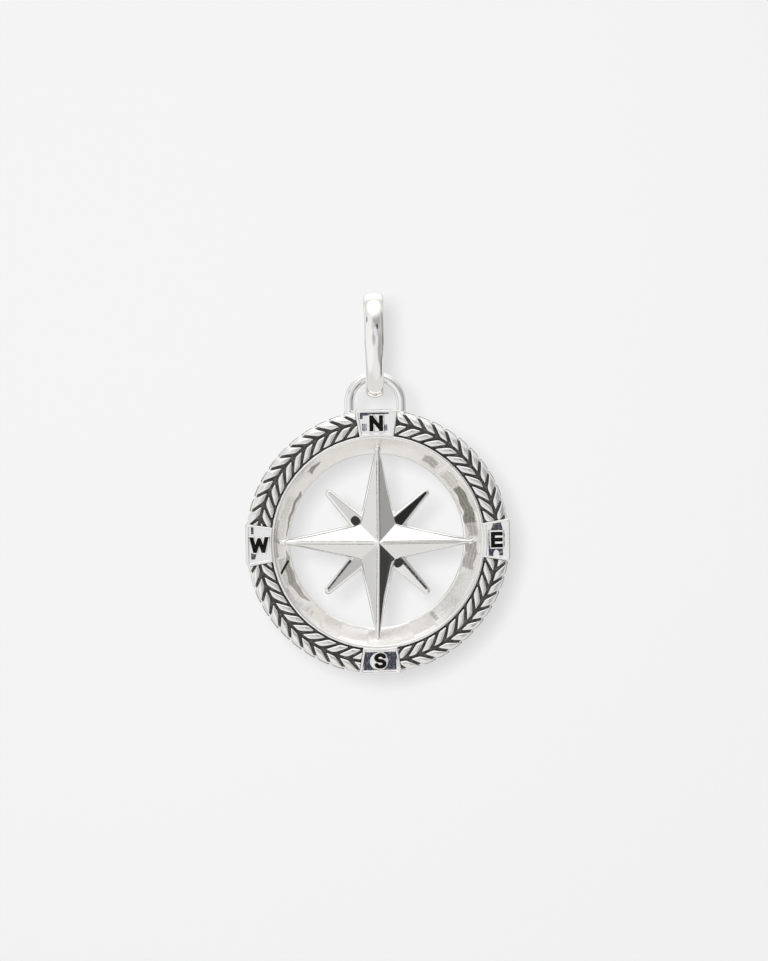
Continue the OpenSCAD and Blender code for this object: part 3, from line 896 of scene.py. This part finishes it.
def wire_loop():
    """The wire, swept up one leg, over the arch and down the other."""
    wire_r = WIRE_D/2
    arch_r = LOOP_W/2 - wire_r
    arch_y = RING_R + LOOP_RISE - wire_r - arch_r
    foot_y = WALL_R - WIRE_D
    leg = np.linspace(foot_y, arch_y, 22)[:-1]
    turn = np.linspace(0, math.pi, 66)
    x = np.concatenate([arch_r + 0*leg, arch_r*np.cos(turn), 0*leg - arch_r])
    y = np.concatenate([leg, arch_y + arch_r*np.sin(turn), leg[::-1]])
    path = np.stack([x, y], axis=-1)
    ahead = np.gradient(path, axis=0)
    ahead /= np.linalg.norm(ahead, axis=1, keepdims=True)
    outward = np.stack([ahead[:, 1], -ahead[:, 0]], axis=-1)
    t = full_turn(32)[None, :]
    ring_edge = np.sqrt(np.clip(WALL_R**2 - x**2, 0, None))
    swell = FILLET*np.exp(-(np.clip(y - ring_edge, 0, None)/FILLET)**2)
    radius = (wire_r + swell*(y < ring_edge + 1))[:, None]
    right, north = (path[:, [i]] + outward[:, [i]]*radius*np.cos(t) for i in (0, 1))
    height = WIRE_MID + radius*np.sin(t)
    along = np.cumsum(np.linalg.norm(np.diff(path, axis=0, prepend=path[:1]), axis=1))[:, None]
    return patch(stand(right, north, height), grain=(along, t*1.5), tube=True)


loop = make_piece("wire_loop", [wire_loop()], "medallion", polished)
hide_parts("frame")

# %% [markdown]
# ## The woven border
# The border looks like a braid, but it is two rows of slanted leaves that lean together, with
# black between them. A leaf is a low dome whose sides fall steeply into the black. Each one is
# drawn straight and then bent round the ring, and a little chance in its size and place keeps
# the rows from looking stamped. A leaf narrows towards the black channel between the rows, and
# the outer ones roll over the ring's edge and stay bright there.

# %% Shape one leaf
LEAF_SLANT, GROOVE, LEAF_TAPER = 37.5, 0.13, 0.3
# Each row: middle radius, half its radial reach, squareness of the corners, which way it leans
INNER_ROW = (LIP_R + 0.78, 0.69, 5.5, 1)
OUTER_ROW = (RING_R - 0.68, 0.68, 6.5, -1)
LEAF_CREST, LEAF_DOME = 3.02, 0.13
# Powers of the distance from the middle: the steep fall of the sides, and the dome of the top
LEAF_FALL, LEAF_ROUND = 16, 2.4
# Where the outer leaves start to roll over the ring's edge, over what width and how deep
ROLL_START, ROLL_WIDTH, ROLL_DEPTH = 15.1, 0.9, 0.42
STRIP_TOP = CHANNEL_H + 0.2
END_ANGLE = PLAQUE_ANGLE/2 + 0.15


def leaf(start, middle, pitch, row, chance):
    """One leaf of the quarter at a start, its middle so many degrees further on."""
    row_r, half_r, square, lean = row
    slant = math.radians(LEAF_SLANT + chance.uniform(-1.0, 1.0))
    half_t = (math.radians(pitch)*row_r - GROOVE/math.sin(slant))/2*chance.uniform(0.98, 1.01)
    turn = full_turn(64)[None, :]
    reach = np.sin(np.linspace(0, math.pi/2, 17))[:, None]
    # Shares of the way along the leaf, clockwise, and across it, outwards
    s, b = squarish(np.cos(turn), 2/square)*reach, squarish(np.sin(turn), 2/square)*reach
    # Only the side that rolls over the ring's edge has no steep, black fall
    rolled = smooth(-lean*b, 0.8, 0.95)*(lean < 0)
    steep = np.broadcast_to(reach**LEAF_FALL, s.shape)
    floor = STRIP_TOP - 0.05
    dome = LEAF_DOME*reach**LEAF_ROUND + chance.uniform(0.0, 0.02)
    height = LEAF_CREST - dome - (LEAF_CREST - LEAF_DOME - floor)*steep
    # A leaf leans with the braid: the nearer the channel, the further clockwise it lies
    r = row_r + b*half_r
    taper = LEAF_TAPER*(1 + s)/2*(1 + lean*b)/2
    clockwise = (s - taper)*half_t + lean*b*half_r/math.tan(slant)
    angle = start + middle + np.degrees(clockwise/row_r)
    # Roll over the ring's edge, keep off the lip, and end at the plaques
    over = np.clip((r - ROLL_START)/ROLL_WIDTH, 0, None)
    height = np.maximum(height - ROLL_DEPTH*over**2, floor)
    r = np.clip(r, LIP_R + 0.07, RING_R)
    angle = np.radians(np.clip(angle, start + END_ANGLE, start + 90 - END_ANGLE))
    tarnish_and_painted_shade = smooth(steep, 0.5, 0.9)*(1 - rolled)
    return patch(stand_round(r, angle, height), tarnish_and_painted_shade=tarnish_and_painted_shade, grain=(s*half_t + b, b*0.6),
                 tube=True)


print(f"leaves lean {LEAF_SLANT} degrees off the ring's way round, {GROOVE} mm apart")

# %% [markdown]
# Each quarter of the border is one piece: a blackened strip that lies in the ring's channel, and
# the leaves on it. The leaves point clockwise all the way round, and those next to a plaque are
# cut off by it. The border was cut from a length of woven strip, so each quarter starts at
# another place in the weave, and was stretched a little more or less when laid.

# %% Lay the four quarters
def border_strip(start):
    """The blackened strip under a quarter's leaves."""
    angle = np.radians(np.linspace(start + END_ANGLE, start + 90 - END_ANGLE, 80))[:, None]
    inner, outer, low = LIP_R + 0.03, WALL_R + 0.08, CHANNEL_H + 0.03
    # Radius, height and tarnish: the outer edge is rubbed bright
    section = [(inner, low, 1), (outer - 0.05, low, 0), (outer, low + 0.05, 0),
               (outer, STRIP_TOP - 0.06, 0), (outer - 0.06, STRIP_TOP, 0),
               (outer - 0.16, STRIP_TOP, 0), (outer - 0.22, STRIP_TOP, 1),
               (LETTER_R, STRIP_TOP, 1), (inner, STRIP_TOP, 1)]
    r, h, black = (np.array([p[i] for p in section])[None, :] for i in (0, 1, 2))
    return patch(stand_round(r, angle, h), tarnish_and_painted_shade=black, tube=True)


def border_quarter(start, laid, chance):
    """The strip and both rows of leaves. A leaf past the ends lies flat against the plaque."""
    leaves = [leaf(start, first + pitch*number, pitch, row, chance)
              for row, (first, pitch) in zip((INNER_ROW, OUTER_ROW), laid)
              for number in range(-2, 11)]
    return [border_strip(start)] + leaves


# For each row, the bearing of a leaf's middle within its quarter and the pitch, in degrees
WEAVE = {"ne": (0, (17.0, 6.98), (17.7, 6.67)), "se": (90, (17.3, 6.78), (15.5, 6.89)),
         "sw": (180, (15.7, 6.74), (14.9, 6.85)), "nw": (270, (12.7, 6.68), (13.8, 6.77))}
for quarter, (start, *laid) in WEAVE.items():
    chance = np.random.default_rng(20 + start)
    border = make_piece(f"woven_border_{quarter}", border_quarter(start, laid, chance),
                        "medallion", brushed, crisp=60.0)
    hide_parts(f"border_{quarter}")

# %% [markdown]
# ## The camera
# The pendant was photographed with a long lens, from a little to the left and above, so small
# parts of the ring's left and upper sides show. The lens and the distance together set the
# scale of the picture, and a slight roll turns the pendant as it hung.

# %% Place the camera
AZIMUTH, ELEVATION, ROLL = math.radians(-4.1), math.radians(3.2), math.radians(1.0)
LENS, SENSOR, MM_PER_PIXEL, PICTURE_H = 100.0, 36.0, 0.12075, 961
# Height of the ring's face, and where the middle of the picture lies, seen from its middle
RING_FACE, AIM_RIGHT, AIM_UP = 3.0, 0.66, 7.49


def photo_camera():
    """Place the camera by its three angles, its distance and the middle of the picture."""
    back = Vector((math.sin(AZIMUTH)*math.cos(ELEVATION),
                   -math.cos(AZIMUTH)*math.cos(ELEVATION), math.sin(ELEVATION)))
    right = Vector((0, 0, 1)).cross(back).normalized()
    up = back.cross(right)
    right, up = (right*math.cos(ROLL) - up*math.sin(ROLL), up*math.cos(ROLL) + right*math.sin(ROLL))
    face = Vector(RING_CENTRE - np.array([0, RING_FACE, 0]))
    distance = MM_PER_PIXEL*PICTURE_H*LENS/SENSOR
    place = (face + right*AIM_RIGHT + up*AIM_UP + back*distance)*MM
    data = bpy.data.cameras.new("photo_camera")
    data.lens, data.sensor_width = LENS, SENSOR
    data.clip_start, data.clip_end = 0.01, 10.0
    camera = add_object("photo_camera", data)
    camera.matrix_world = Matrix.Translation(place) @ Matrix((right, up, back)).transposed().to_4x4()
    bpy.context.scene.camera = camera
    print(f"camera {distance:.0f} mm away")


photo_camera()

# %% [markdown]
# ## The light tent
# Polished metal shows nothing but its surroundings, so they are the real paint here. A jewellery
# photographer builds a tent of white paper and grey and black cards. The world does the same
# with soft round cards on a sphere: each has a direction, a reach, a soft edge and a light, and
# later ones lie over earlier ones. Directions are right, up and towards the camera.

# %% Choose the cards
CARDS = [
    # name, direction, reach and softness in degrees, and light, as a grey or a colour
    ("paper behind", (0, 0, -1), 94, 8, (0.70, 0.68, 0.65)),
    ("grey paper far behind", (0, 0, -1), 66, 24, 0.4),
    ("ceiling behind", (0, 0.76, -0.65), 32, 30, 1.0),
    ("white paper at the far left", (-0.98, 0, -0.15), 28, 10, 0.92),
    ("pale grey wall", (0.52, 0.12, 0.84), 34, 16, 0.56),
    ("right wall", (0.92, 0.08, 0.38), 23, 9, (0.36, 0.36, 0.355)),
    ("left wall", (-1, 0.1, 0.3), 40, 12, (0.78, 0.78, 0.77)),
    ("left wall's foot", (-0.9, -0.42, 0.3), 17, 9, (0.65, 0.65, 0.64)),
    ("table front", (0, -1, 0.4), 34, 12, (0.77, 0.765, 0.75)),
    ("white sheet on the table", (0.1, -0.5, 0.86), 22, 6, 0.86),
    ("lower left reflector", (-0.5, -0.3, 0.81), 24, 6, 0.95),
    ("upper left reflector", (-0.55, 0.14, 0.83), 17, 6, 0.93),
    ("grey card above the lens", (0.16, 0.3, 0.93), 17, 12, (0.42, 0.42, 0.43)),
    ("ceiling", (0, 0.86, 0.51), 33, 24, 1.18),
    ("black stand", (0.88, -0.24, 0.40), 9, 2, 0.05),
    ("grey card lower right", (0.47, -0.34, 0.81), 14, 9, 0.42),
    ("foot of the stand", (0.62, -0.54, 0.56), 9, 4, 0.14),
    ("left stand", (-0.67, 0.28, 0.69), 5.5, 4, 0.25),
    ("soft shadow of the camera", (-0.08, -0.2, 0.97), 7, 7, 0.52),
    ("camera's left side", (-0.12, 0.1, 0.98), 6, 6, 0.68),
    ("white front of the tent", (0.07, -0.06, 0.996), 6.5, 4, (0.84, 0.84, 0.87)),
    ("lens", (0.2296, 0.0773, 0.9701), 4.2, 1.6, 0.02),
]
# Light of the bare tent, of the room that the camera sees, and of the room behind the scrim
TENT, ROOM, BEHIND = 0.80, 0.905, 0.696
# How far back a view has to point for the room to start to turn into the one behind the scrim,
# and to be that room in full
TO_THE_BACK = (0.04, 0.12)


# %% Hang the cards of the light tent
def heading(right, up, front):
    """A direction to the right, up and towards the camera, in the frame."""
    return Vector((right, -front, up)).normalized()


def light_tent():
    """Paint the cards on the world, one over the other."""
    world = bpy.data.worlds.new("light_tent")
    world.use_nodes = True
    bpy.context.scene.world = world
    tree = world.node_tree
    direction = add_node(tree, "ShaderNodeTexCoord").outputs["Generated"]
    light = (TENT,)*3
    for name, (right, up, front), reach, soft, colour in CARDS:
        pair = {0: direction, 1: heading(right, up, front)}
        facing = add_node(tree, "ShaderNodeVectorMath", pair, operation="DOT_PRODUCT")
        far, near = (math.cos(math.radians(reach + side*soft/2)) for side in (1, -1))
        mask = soft_step(tree, facing.outputs["Value"], far, near)
        light = blend(tree, mask, light, colour if isinstance(colour, tuple) else (colour,)*3)
        light.node.label = name
    # The camera itself sees only a plain pale room, a little darker behind the scrim, because
    # the lamp's light on the scrim is added there
    parts = add_node(tree, "ShaderNodeSeparateXYZ", {0: direction})
    backward = soft_step(tree, parts.outputs["Y"], *TO_THE_BACK)
    room = blend(tree, backward, (ROOM,)*3, (BEHIND,)*3)
    path = add_node(tree, "ShaderNodeLightPath").outputs["Is Camera Ray"]
    feed(tree.nodes["Background"], {"Color": blend(tree, path, light, room)})
    print(f"light tent with {len(CARDS)} cards")


light_tent()

# %% [markdown]
# ## The scrim and the key light
# The pendant was photographed close in front of pale paper, and a small lamp near the camera
# threw a soft shadow on it, to the right and below. A sheet of paper would hide the pendant
# from behind, and would be in the way when it swings. So the backdrop is a scrim, a thin white
# gauze 42 mm behind the pendant: it lets nearly all light through, but it is lit so strongly that
# the pendant's shadow shows on it. The lamp is kept out of mirror reflections, because the
# tent already paints those.

# %% Set the scrim and the lamp
SCRIM_BACK, SCRIM_R, GAUZE = 42.0, 600.0, 0.04
# The lamp: its direction to the right, up and to the front, distance, radius and power in watts
LAMP_TOWARD, LAMP_FAR, LAMP_R, LAMP_POWER = (-0.104, 0.108, 1.0), 330.0, 12.0, 31.6


def gauze_scrim():
    """A round sheet of thin gauze behind the medallion."""
    data = bpy.data.meshes.new("gauze_scrim")
    rim = stand_round(SCRIM_R, full_turn(96), RING_CENTRE[1] - SCRIM_BACK)
    data.from_pydata(rim.tolist(), [], [list(range(len(rim)))])
    gauze = bpy.data.materials.new("white_gauze")
    gauze.use_nodes = True
    tree = gauze.node_tree
    thread = add_node(tree, "ShaderNodeBsdfDiffuse", {"Color": (0.9, 0.9, 0.9, 1)}).outputs[0]
    gap = add_node(tree, "ShaderNodeBsdfTransparent").outputs[0]
    weave = add_node(tree, "ShaderNodeMixShader", {0: GAUZE, 1: gap, 2: thread})
    feed(tree.nodes["Material Output"], {"Surface": weave.outputs[0]})
    data.materials.append(gauze)
    scrim = add_object("gauze_scrim", data)


def key_lamp():
    """A small round lamp, aimed from the ring's centre."""
    data = bpy.data.lights.new("key_lamp", "POINT")
    data.shadow_soft_size, data.energy = LAMP_R*MM, LAMP_POWER
    lamp = add_object("key_lamp", data)
    lamp.location = (Vector(RING_CENTRE) + heading(*LAMP_TOWARD)*LAMP_FAR)*MM
    lamp.visible_glossy = False


print(f"scrim {SCRIM_BACK:.0f} mm behind the medallion, hiding {GAUZE:.0%} of the room")
gauze_scrim()
key_lamp()
print(f"lamp {LAMP_FAR:.0f} mm from the ring's centre")
bpy.context.scene.view_settings.view_transform = "Standard"
